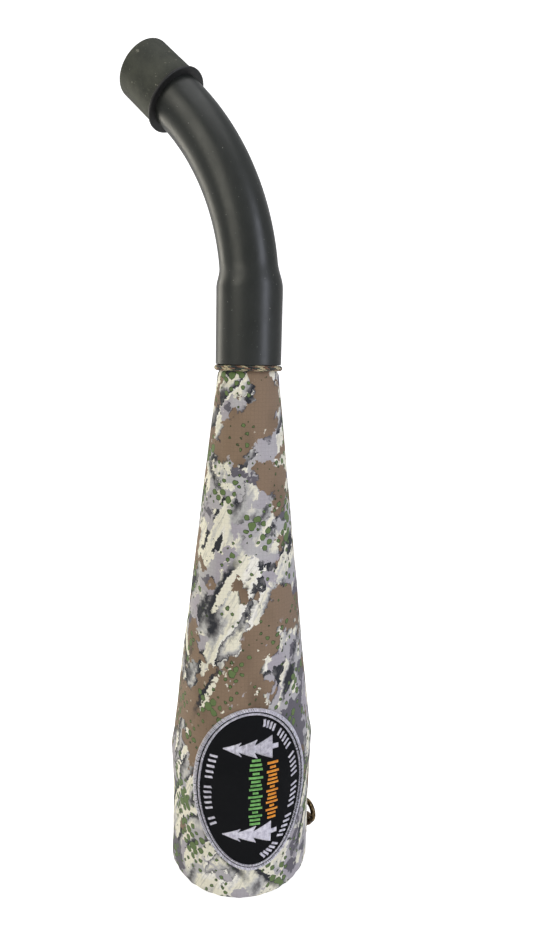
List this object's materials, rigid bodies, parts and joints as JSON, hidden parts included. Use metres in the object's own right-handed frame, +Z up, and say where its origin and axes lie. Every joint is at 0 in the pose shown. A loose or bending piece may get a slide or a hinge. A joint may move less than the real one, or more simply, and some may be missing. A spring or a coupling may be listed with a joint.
{
  "type": "breath-blown game call",
  "caption": "Breath-blown game call: a bat-shaped bell in a laced camouflage cover, with a swivelling bent neck, a pull-off rubber mouth cuff and a swinging carry ring.",
  "frame": {"origin": "centre of the bell's round rim, on the plane it stands on", "axes": "+Z up along the bell's axis, -Y towards the front with the oval patch, +X to the right; the neck bends towards -X and a little towards +Y"},
  "size_m": [0.1448, 0.1037, 0.569],
  "materials": {
    "bell_plastic": "moulded, satin",
    "sleeve_rubber": "matt",
    "camo_fabric": "printed woven ripstop polyester in brown, stone, grey, cream and green",
    "elastic": "covered elastic",
    "seam_thread": "polyester thread",
    "cord": "braided camouflage cord, tan, brown, green and black",
    "cord_tip": "melted nylon",
    "patch_twill": "black twill",
    "pale_thread": "satin stitched rayon, pale",
    "green_thread": "satin stitched rayon, green",
    "orange_thread": "satin stitched rayon, orange",
    "webbing": "brown woven tape",
    "ring_metal": "polished antique brass",
    "neck_plastic": "satin black, fine handling scratches",
    "cuff_rubber": "matt, dusty",
    "collar_rubber": "smooth satin"
  },
  "bodies": {
    "bell": {"bell_tube": "bell_plastic", "grip_sleeve": "sleeve_rubber", "camo_cover": "camo_fabric", "rim_hem": "camo_fabric", "rim_elastic": "elastic", "back_seam": "camo_fabric", "seam_stitches": "seam_thread", "neck_cord": "cord", "cord_knot": "cord", "cord_tails": "cord", "cord_tips": "cord_tip", "patch_backing": "patch_twill", "patch_border": "pale_thread", "patch_inner_ring": "pale_thread", "patch_trees": "pale_thread", "patch_green_wave": "green_thread", "patch_orange_wave": "orange_thread", "patch_dashes": "pale_thread", "ring_tab": "webbing", "tab_stitches": "seam_thread"},
    "neck": {"neck_tube": "neck_plastic"},
    "cuff": {"mouth_cuff": "cuff_rubber", "cuff_collar": "collar_rubber"},
    "ring": {"carry_ring": "ring_metal"}
  },
  "joints": [
    {"name": "neck_swivel", "type": "hinge", "parent": "bell", "child": "neck", "pos_m": [0, 0, 0.387], "axis": [0, 0, 1], "continuous": true},
    {"name": "cuff_pull", "type": "slide", "parent": "neck", "child": "cuff", "axis": [-0.6794, 0.3011, 0.6691], "range_m": [0, 0.018]},
    {"name": "ring_swing", "type": "hinge", "parent": "bell", "child": "ring", "pos_m": [0.05159, 0.01577, 0.018], "axis": [-0.5299, 0.848, 0], "range_deg": [-2, 165]}
  ]
}
